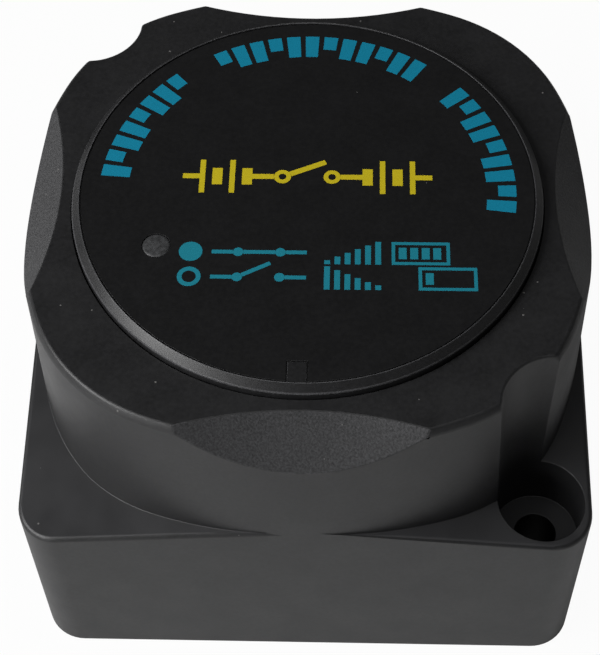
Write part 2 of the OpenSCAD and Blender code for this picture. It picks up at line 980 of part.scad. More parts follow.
module sense_straps() {
    color([0.78, 0.62, 0.3])
    for (turn = [0, 180])
        rotate([0, 0, turn])
            translate([strap_x, -strap_y - strap_w, head_z]) {
                translate([-strap_foot, 0, 0])
                    cube([strap_foot + strap_t, strap_w, strap_t]);
                cube([strap_t, strap_w, board_top + pin_stand - head_z]);
            }
}

module contact_deck() {
    color([0.16, 0.16, 0.17])
    difference() {
        union() {
            translate([0, 0, deck_h])
                linear_extrude(deck_t)
                    bay_plan(deck_gap);
            at_yoke_screws()
                translate([0, 0, deck_h])
                    cylinder(r = yoke_pillar_r, h = plate_z - deck_h);
            translate([-barrier_t / 2, deck_gap - bay_a, barrier_lift])
                cube([barrier_t, 2 * (bay_a - deck_gap), deck_h - barrier_lift + over]);
        }
        at_terminals()
            translate([0, 0, deck_h - over])
                cylinder(r = stud_r + play, h = deck_t + 2 * over);
        translate([0, 0, return_foot])
            cylinder(r = spring_pocket_r, h = spring_pocket + over);
        at_deck_screws()
            translate([0, 0, deck_h - over])
                cylinder(r = deck_screw_r + play, h = deck_t + 2 * over);
        at_yoke_screws()
            translate([0, 0, plate_top - yoke_screw_l - over])
                cylinder(r = yoke_screw_r + play, h = yoke_screw_l + over);
    }
}

module deck_screws() {
    color([0.75, 0.76, 0.78])
    at_deck_screws()
        translate([0, 0, deck_h])
            screw_up(deck_screw_r, deck_screw_l, deck_screw_head_r, deck_screw_head_h);
}

module deck_gasket() {
    color([0.08, 0.08, 0.08])
    translate([0, 0, deck_top])
        linear_extrude(gasket_t)
            intersection() {
                bay_plan(deck_gap);
                difference() {
                    chamber_plan(gasket_w);
                    chamber_plan(deck_gap);
                }
            }
}

module flat_washers() {
    color([0.75, 0.76, 0.78])
    at_terminals()
        translate([0, 0, flat_washer_z])
            difference() {
                cylinder(r = flat_washer_r, h = flat_washer_t);
                translate([0, 0, -over])
                    cylinder(r = stud_r + play, h = flat_washer_t + 2 * over);
            }
}

module spring_washers() {
    color([0.75, 0.76, 0.78])
    at_terminals()
        translate([0, 0, spring_washer_z])
            difference() {
                cylinder(r = spring_washer_r, h = spring_washer_t);
                translate([0, 0, -over])
                    cylinder(r = stud_r + play, h = spring_washer_t + 2 * over);
                translate([0, -spring_washer_split / 2, -over])
                    cube([2 * spring_washer_r, spring_washer_split, spring_washer_t + 2 * over]);
            }
}

module terminal_nuts() {
    color([0.75, 0.76, 0.78])
    at_terminals()
        translate([0, 0, nut_z])
            difference() {
                cylinder(r = nut_af / 2 / cos(30), h = nut_t, $fn = 6);
                translate([0, 0, -over])
                    cylinder(r = stud_r + play, h = nut_t + 2 * over);
            }
}

module earth_wire_gland() {
    color([0.08, 0.08, 0.08])
    translate([gland_x, half_w, gland_z])
        rotate([90, 0, 0])
            difference() {
                union() {
                    cylinder(r = gland_r, h = wall);
                    cylinder(r = gland_flange_r, h = gland_flange_t);
                    translate([0, 0, wall])
                        cylinder(r = gland_flange_r, h = gland_flange_t);
                }
                translate([0, 0, -over])
                    cylinder(r = gland_bore_r, h = wall + gland_flange_t + 2 * over);
            }
}

housing();
top_cap();
label_disc();
indicator_window();
status_lamp();
control_board();
board_screws();
voltage_monitor_chip();
coil_driver_transistor();
flyback_diode();
smoothing_capacitors();
chip_resistors();
coil_bobbin();
coil_winding();
coil_pins();
yoke_frame();
yoke_plate();
yoke_screws();
fixed_core();
plunger_guide();
plunger();
push_rod();
contact_bridge();
moving_contact_tips();
bridge_bush();
bridge_washer();
rod_clip();
contact_spring();
return_spring();
terminal_stud_left();
terminal_stud_right();
fixed_contact_tips();
sense_straps();
contact_deck();
deck_screws();
deck_gasket();
flat_washers();
spring_washers();
terminal_nuts();
earth_wire_gland();
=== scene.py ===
"""Battery isolator relay: the looks of its black housing, its printed cap and the works inside."""

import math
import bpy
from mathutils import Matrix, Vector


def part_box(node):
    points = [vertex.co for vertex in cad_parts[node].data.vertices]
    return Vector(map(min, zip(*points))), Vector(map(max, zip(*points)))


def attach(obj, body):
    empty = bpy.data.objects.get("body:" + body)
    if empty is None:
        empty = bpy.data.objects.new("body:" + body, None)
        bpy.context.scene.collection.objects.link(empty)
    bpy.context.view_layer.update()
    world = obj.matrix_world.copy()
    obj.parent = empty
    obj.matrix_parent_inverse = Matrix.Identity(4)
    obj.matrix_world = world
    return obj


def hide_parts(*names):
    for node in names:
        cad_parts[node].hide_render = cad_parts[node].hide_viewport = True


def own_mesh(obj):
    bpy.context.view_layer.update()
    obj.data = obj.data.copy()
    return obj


bl_info = {
    "name": "Battery isolator relay",
    "version": (1, 0, 0),
    "blender": (4, 5, 0),
    "location": "3D View > Sidebar > Relay",
    "description": "Dresses the battery isolator relay and sets up its stage",
    "category": "Object",
}

import bmesh
import bpy
from bpy.props import FloatProperty, FloatVectorProperty, IntProperty, PointerProperty
from mathutils import Matrix, Vector

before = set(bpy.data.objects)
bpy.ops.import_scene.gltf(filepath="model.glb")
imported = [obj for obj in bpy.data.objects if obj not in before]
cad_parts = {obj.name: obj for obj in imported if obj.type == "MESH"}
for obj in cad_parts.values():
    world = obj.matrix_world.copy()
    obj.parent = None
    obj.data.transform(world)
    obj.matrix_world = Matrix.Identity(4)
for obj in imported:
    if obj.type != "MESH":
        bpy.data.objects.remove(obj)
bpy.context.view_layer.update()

MM = 0.001
UP = Vector((0, 0, 1))
# Height, in millimetres, under which a face that looks up belongs to the base and gets painted light
BASE_TOP = 33.0
FIXED = "relay_body"
MOVING = "armature"
STUDS = ("terminal_stud_left", "terminal_stud_right")

# Vertices nearer than this are joined, and faces that meet at less than this angle count as flat
WELD_GAP = 0.002 * MM
FLAT_ANGLE = math.radians(0.2)
# Edges of the mouldings that are sharper than this are rounded
CREASE = math.radians(18)


def level(node):
    """The lowest and highest height of a CAD node, in millimetres."""
    low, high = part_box(node)
    return low.z / MM, high.z / MM


def middle(node):
    """The middle of a CAD node's box in plan, in millimetres."""
    low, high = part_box(node)
    return (low.x + high.x) / 2 / MM, (low.y + high.y) / 2 / MM


def radius_of(node):
    """Half the width of a round CAD node, in millimetres."""
    low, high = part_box(node)
    return (high.x - low.x) / 2 / MM


class RelaySizes(bpy.types.PropertyGroup):
    """Sizes of the finish that the solids leave open, in metres"""

    base_round: FloatProperty(
        name="Base edge", description="Rounding of the base's upper edge",
        default=0.6 * MM, min=0.0, unit="LENGTH", subtype="DISTANCE")
    ink_depth: FloatProperty(
        name="Ink", description="Thickness of the ink on the label",
        default=0.02 * MM, min=0.0, unit="LENGTH", subtype="DISTANCE")
    thread_pitch: FloatProperty(
        name="Thread pitch", description="Pitch of the thread on the terminal studs",
        default=1.25 * MM, min=0.0, unit="LENGTH", subtype="DISTANCE")
    wire_turns: IntProperty(
        name="Winding rows", description="Turns of wire seen along the coil", default=24, min=4)
    return_keep: FloatProperty(
        name="Closed spring", description="Share of the return spring's length left when closed",
        default=0.70, min=0.1, max=1.0, subtype="FACTOR")


def tint(name, description, colour):
    """A colour property."""
    return FloatVectorProperty(name=name, description=description, default=colour, size=3,
                               min=0.0, max=1.0, subtype="COLOR")


class RelayColours(bpy.types.PropertyGroup):
    """Colours of the finish, scene linear"""

    moulding: tint("Moulding", "Black plastic of the housing and cap", (0.0125, 0.0125, 0.0132))
    film: tint("Label film", "Black film of the label", (0.0075, 0.0075, 0.008))
    blue_ink: tint("Blue ink", "Arched scale on the label", (0.004, 0.27, 0.43))
    yellow_ink: tint("Yellow ink", "Circuit on the label", (0.72, 0.58, 0.015))
    cyan_ink: tint("Cyan ink", "Two rows of signs on the label", (0.012, 0.26, 0.35))
    window: tint("Window", "Frosted window over the lamp", (0.049, 0.050, 0.052))
    floor: tint("Floor", "Pale floor under the relay", (0.80, 0.80, 0.80))

# Colours of the inner pieces and of dust
DUST = (0.16, 0.155, 0.15)
LABEL_DUST = (0.2, 0.2, 0.19)
EPOXY = (0.012, 0.012, 0.013)
NYLON = (0.62, 0.58, 0.46)
RUBBER = (0.014, 0.014, 0.014)
LAMP_RED = (0.55, 0.03, 0.02)
ENAMEL = ((0.42, 0.12, 0.03), (0.62, 0.22, 0.07))
RESIST = ((0.006, 0.075, 0.03), (0.016, 0.15, 0.06))
GLASS_FIBRE = ((0.28, 0.26, 0.13), (0.42, 0.40, 0.22))
STEEL, STEEL_DULL = (0.62, 0.62, 0.6), (0.5, 0.5, 0.49)
ZINC, ZINC_DULL = (0.6, 0.6, 0.58), (0.5, 0.5, 0.46)
BRASS, BRASS_DULL = (0.72, 0.5, 0.2), (0.6, 0.4, 0.15)
TINNED = (0.72, 0.72, 0.7)

# How tool marks are drawn out: round the upright axis, along it, and from left to right
TURNED = (0.05, 0.05, 1.0)
GROUND = (1.0, 1.0, 0.05)
DRAWN = (0.05, 1.0, 1.0)

# Metals by the name of their material: colour, roughness and tarnish, then the grain, the depth
# and the stretch of the tool marks where they aren't the usual ones
METALS = {
    "board_steel": (STEEL, 0.28, STEEL_DULL),
    "coil_steel": (STEEL, 0.28, STEEL_DULL),
    "yoke_zinc_passivated": (ZINC, 0.34, ZINC_DULL),
    "deck_screw_zinc": (ZINC, 0.3, ZINC_DULL),
    "guide_brass": (BRASS, 0.25, BRASS_DULL),
    "strap_brass": (BRASS, 0.28, BRASS_DULL),
    "pin_tinned": (TINNED, 0.25, (0.6, 0.6, 0.58)),
    "can_brushed": ((0.75, 0.76, 0.77), 0.3, (0.65, 0.66, 0.68)),
    "clip_blued": ((0.2, 0.2, 0.22), 0.35, (0.12, 0.12, 0.15)),
    "tip_silver": ((0.85, 0.84, 0.8), 0.3, (0.7, 0.68, 0.62)),
    "stud_tinned_copper": ((0.70, 0.42, 0.28), 0.3, (0.55, 0.3, 0.19)),
    "nut_nickel_plated": ((0.66, 0.64, 0.58), 0.26, (0.52, 0.5, 0.45)),
    "washer_spring_steel": ((0.5, 0.5, 0.5), 0.3, (0.4, 0.4, 0.41)),
    "spring_wire": ((0.55, 0.55, 0.56), 0.24, (0.42, 0.42, 0.44), 0.2, 0.002),
    "core_turned": ((0.5, 0.5, 0.5), 0.3, (0.42, 0.42, 0.43), 0.3, 0.004, TURNED),
    "plunger_turned": ((0.52, 0.52, 0.52), 0.26, (0.44, 0.44, 0.45), 0.3, 0.004, TURNED),
    "rod_ground": ((0.62, 0.62, 0.61), 0.2, (0.55, 0.55, 0.54), 0.3, 0.002, GROUND),
    "bridge_copper": ((0.72, 0.33, 0.18), 0.3, (0.5, 0.2, 0.11), 0.25, 0.003, DRAWN),
}

# Nearly all values of a noise texture lie between these two
NOISE_RANGE = (0.3, 0.7)


class Signal:
    """An output of a shader tree that can stand in a Python expression."""

    def __init__(self, shading, socket):
        self.shading = shading
        self.socket = socket

    def maths(self, operation, *values):
        """The output of a Math node that works on the values."""
        return self.shading.node("ShaderNodeMath", {"operation": operation}, dict(enumerate(values)))

    def __add__(self, other):
        return self.maths("ADD", self, other)

    def __sub__(self, other):
        return self.maths("SUBTRACT", self, other)

    def __rsub__(self, other):
        return self.maths("SUBTRACT", other, self)

    def __mul__(self, other):
        return self.maths("MULTIPLY", self, other)

    def __gt__(self, other):
        return self.maths("GREATER_THAN", self, other)

    def __lt__(self, other):
        return self.maths("LESS_THAN", self, other)

    def __abs__(self):
        return self.maths("ABSOLUTE", self)

    def capped(self):
        """The same, but never above one."""
        return self.maths("MINIMUM", self, 1.0)

    __radd__ = __add__
    __rmul__ = __mul__


class Shading:
    """A node tree and the one way by which nodes come into it."""

    def __init__(self, tree):
        self.tree = tree

    def node(self, kind, settings=None, values=None, output=0):
        """Adds a node: first its settings, then the values or links of its sockets."""
        node = self.tree.nodes.new(kind)
        for name, value in (settings or {}).items():
            setattr(node, name, value)
        for name, value in (values or {}).items():
            if isinstance(value, Signal):
                self.tree.links.new(value.socket, node.inputs[name])
            else:
                node.inputs[name].default_value = value
        return Signal(self, node.outputs[output])

    def axis(self, vector, index):
        """One of the three parts of a vector."""
        return self.node("ShaderNodeSeparateXYZ", {}, {0: vector}, index)

    def rays(self):
        """Three signals, each one for its kind of ray: camera, glossy and transmission."""
        return [self.node("ShaderNodeLightPath", {}, {}, kind)
                for kind in ("Is Camera Ray", "Is Glossy Ray", "Is Transmission Ray")]

    def surface(self, shader):
        """Puts a shader in the place of the tree's first one."""
        end = next(n for n in self.tree.nodes if n.type in ("OUTPUT_MATERIAL", "OUTPUT_WORLD"))
        self.tree.nodes.remove(end.inputs["Surface"].links[0].from_node)
        self.tree.links.new(shader.socket, end.inputs["Surface"])


class Finish(Shading):
    """A material, its shader and the nodes that vary it over the surface."""

    def __init__(self, name, constants=None):
        self.material = bpy.data.materials.new(name)
        self.material.use_nodes = True
        super().__init__(self.material.node_tree)
        self.shader = next(n for n in self.tree.nodes if n.type == "BSDF_PRINCIPLED")
        for socket, value in (constants or {}).items():
            self.shader.inputs[socket].default_value = value
        here = self.node("ShaderNodeTexCoord", {}, {}, "Object")
        self.place = self.node("ShaderNodeVectorMath", {"operation": "SCALE"},
                               {"Vector": here, "Scale": 1 / MM})

    def noise(self, size, detail=2.0, place=None):
        """Cloudy noise from 0 to 1 whose lumps are about size millimetres across."""
        return self.node("ShaderNodeTexNoise", {},
                         {"Vector": place or self.place, "Scale": 1 / size, "Detail": detail})

    def drawn_out(self, stretch):
        """Places in which a texture is drawn out along the axes whose stretch is below one."""
        return self.node("ShaderNodeVectorMath", {"operation": "MULTIPLY"}, {0: self.place, 1: stretch})

    def facing(self):
        """How far a face looks up, from -1 to 1."""
        return self.axis(self.node("ShaderNodeNewGeometry", {}, {}, "Normal"), 2)

    def specks(self, spacing, size, chance):
        """Round specks on a grid of cells, of which only a chance share holds one."""
        cell = self.node("ShaderNodeTexVoronoi", {}, {"Vector": self.place, "Scale": 1 / spacing})
        shade = self.node("ShaderNodeTexVoronoi", {}, {"Vector": self.place, "Scale": 1 / spacing},
                          "Color")
        pick = self.node("ShaderNodeSeparateColor", {}, {"Color": shade})
        return (cell < size / spacing) * (pick < chance)

    def mix(self, share, first, second):
        """A colour between two colours."""
        pair = {0: share}
        for index, colour in ((6, first), (7, second)):
            pair[index] = colour if isinstance(colour, Signal) else (*colour, 1.0)
        return self.node("ShaderNodeMix", {"data_type": "RGBA"}, pair, 2)

    def bump(self, height, depth, under=None):
        """A bump of so many millimetres' depth for a height that goes from 0 to 1."""
        values = {"Height": height, "Distance": depth * MM}
        if under:
            values["Normal"] = under
        return self.node("ShaderNodeBump", {}, values)

    def spread(self, noise, low=0.0, high=1.0):
        """Brings a noise to the range from low to high, with more contrast than it has."""
        return self.node("ShaderNodeMapRange", {},
                         {"Value": noise, "From Min": NOISE_RANGE[0], "From Max": NOISE_RANGE[1],
                          "To Min": low, "To Max": high})

    def done(self, **sockets):
        """Feeds the shader's varying sockets and hands over the material."""
        for name, value in sockets.items():
            socket = self.shader.inputs[name.replace("_", " ").title()]
            if isinstance(value, Signal):
                self.tree.links.new(value.socket, socket)
            else:
                socket.default_value = value
        return self.material


def colours():
    """The colours as set in the sidebar."""
    return bpy.context.scene.relay_colours


def sizes():
    """The sizes as set in the sidebar."""
    return bpy.context.scene.relay_sizes


def shade(colour, times):
    """A colour made darker or lighter by a factor."""
    return tuple(min(part * times, 1.0) for part in tuple(colour)[:3])


def moulded_plastic(name, colour, roughness, grain=0.16, depth=0.0035, dust_and_painted_light=True):
    """Moulded plastic: fine grain, a satin gloss in clouds, a little dust on it, and painted light that
    makes the base's upward faces lighter.

    Faces whose spark attribute is one are coarse, as an eroded mould leaves them.
    """
    f = Finish(name, {"IOR": 1.5})
    clouds = f.noise(5.0, 3.0)
    coarse = f.noise(0.24, 4.0)
    spark = f.node("ShaderNodeAttribute", {"attribute_name": "spark"}, {}, "Fac")
    tone = f.mix(f.spread(clouds), shade(colour, 0.85), shade(colour, 1.2))
    tone = f.mix(f.spread(f.noise(0.45, 3.0), 0.0, 0.5), tone, shade(colour, 2.2))
    tone = f.mix(spark * f.spread(coarse), tone, shade(colour, 4.4))
    rough = f.spread(clouds, roughness - 0.03, roughness + 0.04) + spark * 0.14
    if dust_and_painted_light:
        facing = f.facing()
        dust = f.specks(2.0, 0.12, 0.4) * (facing > 0.4)
        # Painted light: faces of the base that look up are made lighter in clouds, standing in for the
        # light that falls there
        painted_base_light = (facing > 0.9) * (f.axis(f.place, 2) < BASE_TOP) * f.spread(clouds, 0.6, 1.0)
        tone = f.mix(painted_base_light, tone, shade(colour, 2.9))
        tone = f.mix(dust, tone, DUST)
        rough = rough + dust * 0.3
    normal = f.bump(f.noise(grain, 2.0), depth)
    normal = f.bump(coarse * spark, 0.05, normal)
    return f.done(base_color=tone, roughness=rough, normal=normal)


def label_film():
    """The label's black film: satin, faintly dimpled, with a few specks of dust."""
    f = Finish("label_film_black", {"IOR": 1.5})
    film = colours().film
    dust = f.specks(2.6, 0.05, 0.35)
    tone = f.mix(f.spread(f.noise(4.0, 2.0)), shade(film, 0.85), shade(film, 1.15))
    tone = f.mix(dust, tone, LABEL_DUST)
    rough = f.spread(f.noise(0.5), 0.36, 0.44) + dust * 0.3
    return f.done(base_color=tone, roughness=rough, normal=f.bump(f.noise(0.25), 0.0025))


def screen_ink(name, colour):
    """Screen-printed ink: even, a touch grainy, with pinholes too small to see far off."""
    f = Finish(name, {"IOR": 1.45})
    grain = f.noise(0.12, 3.0)
    tone = f.mix(f.spread(grain), shade(colour, 0.86), shade(colour, 1.08))
    tone = f.mix(f.specks(0.9, 0.05, 0.35), tone, shade(colour, 0.3))
    return f.done(base_color=tone, roughness=f.spread(grain, 0.42, 0.55), normal=f.bump(grain, 0.003))


def frosted_window():
    """Frosted plastic over the lamp, cloudy grey."""
    f = Finish("window_frosted_grey", {"IOR": 1.49})
    grey = colours().window
    frost = f.noise(0.12, 3.0)
    tone = f.mix(f.spread(f.noise(0.55, 4.0)), shade(grey, 0.55), shade(grey, 1.6))
    return f.done(base_color=tone, roughness=f.spread(frost, 0.4, 0.6), normal=f.bump(frost, 0.012))


def worked_metal(name, colour, roughness, tarnish, grain=0.4, depth=0.002, stretch=(1.0, 1.0, 1.0)):
    """Bare or plated metal: clouds of tarnish, fine tool marks drawn out along the stretch."""
    f = Finish(name)
    marks = f.noise(grain, 3.0, f.drawn_out(stretch))
    tone = f.mix(f.spread(f.noise(2.5, 4.0)), colour, tarnish)
    tone = f.mix(f.spread(marks, 0.0, 0.25), tone, shade(colour, 0.7))
    rough = f.spread(marks, roughness - 0.05, roughness + 0.08)
    return f.done(base_color=tone, roughness=rough, metallic=1.0, normal=f.bump(marks, depth))


def metal(name):
    """One of the METALS."""
    return worked_metal(name, *METALS[name])


def wound_wire():
    """Enamelled copper wire, its turns told apart by colour along the coil."""
    f = Finish("winding_enamelled", {"Coat Roughness": 0.12, "IOR": 1.5, "Coat Weight": 0.5})
    turns = f.noise(0.35, 1.0, f.drawn_out((0.02, 0.02, 1.0)))
    return f.done(base_color=f.mix(f.spread(turns), *ENAMEL), metallic=0.85,
                  roughness=f.spread(turns, 0.25, 0.38), normal=f.bump(f.noise(0.4), 0.004))


def board_laminate():
    """Circuit board: green solder resist with tracks under it and bare glass fibre at the edge."""
    f = Finish("board_laminate_green", {"IOR": 1.5})
    tracks = f.node("ShaderNodeTexBrick", {"offset": 0.37, "offset_frequency": 3},
                    {"Vector": f.place, "Scale": 0.28, "Mortar Size": 0.05, "Mortar Smooth": 0.1,
                     "Brick Width": 0.9, "Row Height": 0.33}, "Fac")
    flat = abs(f.facing()) > 0.7
    weave = f.noise(0.5, 2.0)
    tone = f.mix(flat, f.mix(f.spread(weave), *GLASS_FIBRE), f.mix(tracks, *RESIST))
    return f.done(base_color=tone, roughness=f.spread(weave, 0.25, 0.4) + (1 - flat) * 0.35,
                  normal=f.bump(tracks, 0.02))


def epoxy_and_legs(name, is_leg):
    """Black epoxy with tinned legs, told apart by place: is_leg makes the mask from the finish."""
    f = Finish(name, {"IOR": 1.55})
    leg = is_leg(f)
    grain = f.noise(0.15, 3.0)
    tone = f.mix(f.spread(grain), shade(EPOXY, 0.8), shade(EPOXY, 1.3))
    tone = f.mix(leg, tone, TINNED)
    rough = f.spread(grain, 0.45, 0.6) * (1 - leg) + leg * 0.28
    return f.done(base_color=tone, roughness=rough, metallic=leg, normal=f.bump(grain, 0.004))


def plain_polymer(name, colour, roughness, grain=0.2, depth=0.004, constants=None):
    """Nylon, rubber or clear plastic: one colour in clouds, a fine grain."""
    f = Finish(name, {"IOR": 1.5, **(constants or {})})
    clouds = f.noise(1.6, 4.0)
    tone = f.mix(f.spread(clouds), shade(colour, 0.85), shade(colour, 1.12))
    return f.done(base_color=tone, roughness=f.spread(clouds, roughness - 0.05, roughness + 0.06),
                  normal=f.bump(f.noise(grain, 3.0), depth))


def angle_of(edge):
    """The angle at which the two faces of an edge meet, zero where they lie flat."""
    return edge.calc_face_angle(0.0) if len(edge.link_faces) == 2 else 0.0


def merged(node):
    """A copy of a CAD node's mesh, its loose triangles joined and its flat faces made whole."""
    bm = bmesh.new()
    bm.from_mesh(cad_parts[node].data)
    bmesh.ops.remove_doubles(bm, verts=bm.verts[:], dist=WELD_GAP)
    bmesh.ops.dissolve_limit(bm, angle_limit=FLAT_ANGLE, verts=bm.verts[:], edges=bm.edges[:],
                             use_dissolve_boundaries=False)
    return bm


def soften(bm, width, segments=2, angle=30.0):
    """Bevels the edges that are sharper than an angle in degrees, by a width in millimetres."""
    edges = [e for e in bm.edges if angle_of(e) > math.radians(angle)]
    bmesh.ops.bevel(bm, geom=edges, offset=width * MM, offset_type="OFFSET", affect="EDGES",
                    segments=segments, profile=0.5, material=-1, clamp_overlap=True,
                    miter_outer="SHARP", miter_inner="SHARP")


def weigh(bm, rounding):
    """Gives each crease the bevel weight that rounding finds for the edge and its middle."""
    weight = bm.edges.layers.float.new("bevel_weight_edge")
    for edge in bm.edges:
        if angle_of(edge) > CREASE:
            edge[weight] = rounding(edge, (edge.verts[0].co + edge.verts[1].co) / 2 / MM)


def round_weighted(made, width):
    """Rounds the weighted edges of a piece, by the whole width where the weight is one."""
    ease = made.modifiers.new("edges", "BEVEL")
    ease.width = width * MM
    ease.segments = 3
    ease.limit_method = "WEIGHT"
    ease.use_clamp_overlap = False
    made.modifiers.new("shading", "WEIGHTED_NORMAL").keep_sharp = True
    return ease


def piece(name, bm, material, body=FIXED, stands_for=(), sharp=38.0):
    """Makes a finished object of a mesh, and lets it ride on a body of the frame."""
    bmesh.ops.recalc_face_normals(bm, faces=bm.faces[:])
    for face in bm.faces:
        face.smooth = True
    rounded = bm.edges.layers.float.get("bevel_weight_edge")
    for edge in bm.edges:
        edge.smooth = angle_of(edge) < math.radians(sharp) or bool(rounded and edge[rounded] > 0)
    mesh = bpy.data.meshes.new(name)
    bm.to_mesh(mesh)
    bm.free()
    if "custom_normal" in mesh.attributes:
        mesh.attributes.remove(mesh.attributes["custom_normal"])
    mesh.materials.clear()
    mesh.materials.append(material)
    made = bpy.data.objects.new(name, mesh)
    bpy.context.collection.objects.link(made)
    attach(made, body)
    if stands_for:
        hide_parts(*stands_for)
    return made


def dress(node, material, width=0.0, segments=2, angle=32.0):
    """Gives a carried-over CAD node its material, and rounds its edges where a width is given."""
    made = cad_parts[node]
    for held in made.material_slots:
        held.material = material
    if width:
        made.modifiers.new("join", "WELD").merge_threshold = WELD_GAP
        whole = made.modifiers.new("flats", "DECIMATE")
        whole.decimate_type = "DISSOLVE"
        whole.angle_limit = FLAT_ANGLE
        ease = made.modifiers.new("edges", "BEVEL")
        ease.width = width * MM
        ease.segments = segments
        ease.limit_method = "ANGLE"
        ease.angle_limit = math.radians(angle)
        ease.use_clamp_overlap = True
        made.modifiers.new("shading", "WEIGHTED_NORMAL").keep_sharp = True
    return made


def turned(bm, outline, segments=64, centre=(0.0, 0.0), closed=True):
    """Turns an outline of (radius, height) points, in millimetres, round an upright axis."""
    cent = Vector((centre[0] * MM, centre[1] * MM, 0.0))
    verts = [bm.verts.new(cent + Vector((r * MM, 0.0, z * MM))) for r, z in outline]
    pairs = list(zip(verts, verts[1:])) + ([(verts[-1], verts[0])] if closed else [])
    edges = [bm.edges.new(pair) for pair in pairs]
    bmesh.ops.spin(bm, geom=verts + edges, cent=cent, axis=UP, dvec=(0, 0, 0),
                   angle=2 * math.pi, steps=segments, use_merge=True, use_duplicate=False)
    bmesh.ops.remove_doubles(bm, verts=bm.verts[:], dist=0.001 * MM)
    bmesh.ops.dissolve_degenerate(bm, dist=0.001 * MM, edges=bm.edges[:])


def block(bm, low, high, turn=0.0, about=(0.0, 0.0)):
    """Adds a block between two corners in millimetres, turned in plan about a point by degrees."""
    low, high = Vector(low) * MM, Vector(high) * MM
    pivot = Vector((about[0] * MM, about[1] * MM, 0.0))
    spun = (Matrix.Translation(pivot) @ Matrix.Rotation(math.radians(turn), 4, "Z")
            @ Matrix.Translation(-pivot))
    placed = Matrix.Translation((low + high) / 2) @ Matrix.Diagonal((*(high - low), 1.0))
    bmesh.ops.create_cube(bm, size=1.0, matrix=spun @ placed)


def arc_block(bm, inner, outer, low, high, start, end, steps=4):
    """Adds a block bent round the upright axis, from one angle to another in degrees."""
    ring = [bm.verts.new((r * MM, 0.0, z * MM))
            for r, z in ((inner, low), (outer, low), (outer, high), (inner, high))]
    face = bm.faces.new(ring)
    bmesh.ops.rotate(bm, verts=ring, cent=(0, 0, 0), matrix=Matrix.Rotation(math.radians(start), 3, "Z"))
    bmesh.ops.spin(bm, geom=[face], cent=(0, 0, 0), axis=UP, dvec=(0, 0, 0),
                   angle=math.radians(end - start), steps=steps, use_merge=False, use_duplicate=False)


def swept_coil(bm, radius, wire, low, high, turns, sides=10, steps=28):
    """A coil of round wire whose ends lie flat, from the lowest to the highest point."""
    rest = 0.75
    pitch = (high - low - 2 * wire) / (turns - rest)
    start = Matrix.Translation((radius * MM, 0, (low + wire) * MM))
    first = bmesh.ops.create_circle(bm, cap_ends=True, radius=wire * MM, segments=sides,
                                    matrix=start @ Matrix.Rotation(math.pi / 2, 4, "X"))
    face = first["verts"][0].link_faces[0]
    for i in range(round(turns * steps)):
        done = i / steps
        ease = min(1.0, done / rest, (turns - done) / rest)
        rise = pitch * ease / steps
        made = bmesh.ops.spin(bm, geom=[face], cent=(0, 0, 0), axis=UP, dvec=(0, 0, rise * MM),
                              angle=2 * math.pi / steps, steps=1, use_merge=False, use_duplicate=False)
        face = next(g for g in made["geom_last"] if isinstance(g, bmesh.types.BMFace))


# Plan of the housing as in the solids, in millimetres
HALF = 34.0
CORNER_R = 5.0
SCREW_AT = 28.0
TOP = 50.2

# Scoops of the drum: a wide cylinder cut aslant into each side
SCOOP_R = 61.0
SCOOP_SLANT = math.atan2(5.3, 4.6)
SCOOP_FROM = 29.0
SCOOP_LOW = 40.0
SCOOP_SLACK = 0.12

# Heights and radii, in millimetres, that tell the housing's edges apart
OUTLINE_SLACK = 0.02
BASE_EDGE = (27.0, 32.0)
SCREW_ZONE = 7.5
SCREW_LOW = 15.0
TOP_ZONE = 48.0
SEAT_R = 28.5
FOOT_R = 33.0
RIM_HIGH = 0.05

# Roundings of the housing's edges, in millimetres
ROUND_SCOOP = 0.15
ROUND_SCALLOP = 0.3
ROUND_SCREW = 0.12
ROUND_TOP = 0.3
ROUND_SEAT = 0.1
ROUND_RIM = 0.12
ROUND_FOOT = 0.1


def in_scoop(point):
    """Whether a point, in metres, lies on the hollow of one of the four scoops."""
    along = Vector((0.0, math.cos(SCOOP_SLANT), math.sin(SCOOP_SLANT)))
    out = Vector((0.0, -math.sin(SCOOP_SLANT), math.cos(SCOOP_SLANT)))
    axis_point = Vector((0.0, -SCOOP_FROM, TOP)) + out * SCOOP_R
    for quarter in range(4):
        p = Matrix.Rotation(quarter * math.pi / 2, 3, "Z") @ (point / MM) - axis_point
        off = (p - along * p.dot(along)).length - SCOOP_R
        if abs(off) < SCOOP_SLACK and point.z > SCOOP_LOW * MM:
            return True
    return False


def from_outline(x, y):
    """How far inside the base's rounded outline a point lies, in millimetres."""
    x, y = abs(x), abs(y)
    core = HALF - CORNER_R
    if x > core and y > core:
        return CORNER_R - math.hypot(x - core, y - core)
    return HALF - max(x, y)


def housing_edge(edge, mid, scoop):
    """How far to round an edge of the housing, in millimetres."""
    on_hollow = sum(face[scoop] > 0.5 for face in edge.link_faces)
    to_screw = min(math.hypot(mid.x - s * SCREW_AT, mid.y + s * SCREW_AT) for s in (-1, 1))
    from_axis = math.hypot(mid.x, mid.y)
    if on_hollow == 1:
        return ROUND_SCOOP
    if from_outline(mid.x, mid.y) < OUTLINE_SLACK and BASE_EDGE[0] < mid.z < BASE_EDGE[1]:
        return sizes().base_round / MM
    if to_screw < SCREW_ZONE and mid.z > SCREW_LOW:
        return ROUND_SCALLOP if mid.z > TOP_ZONE else ROUND_SCREW
    if mid.z > TOP_ZONE:
        return ROUND_TOP if from_axis > SEAT_R else ROUND_SEAT
    if mid.z > BASE_EDGE[0] and from_axis > FOOT_R:
        return ROUND_FOOT
    return ROUND_RIM if mid.z < RIM_HIGH else 0.0


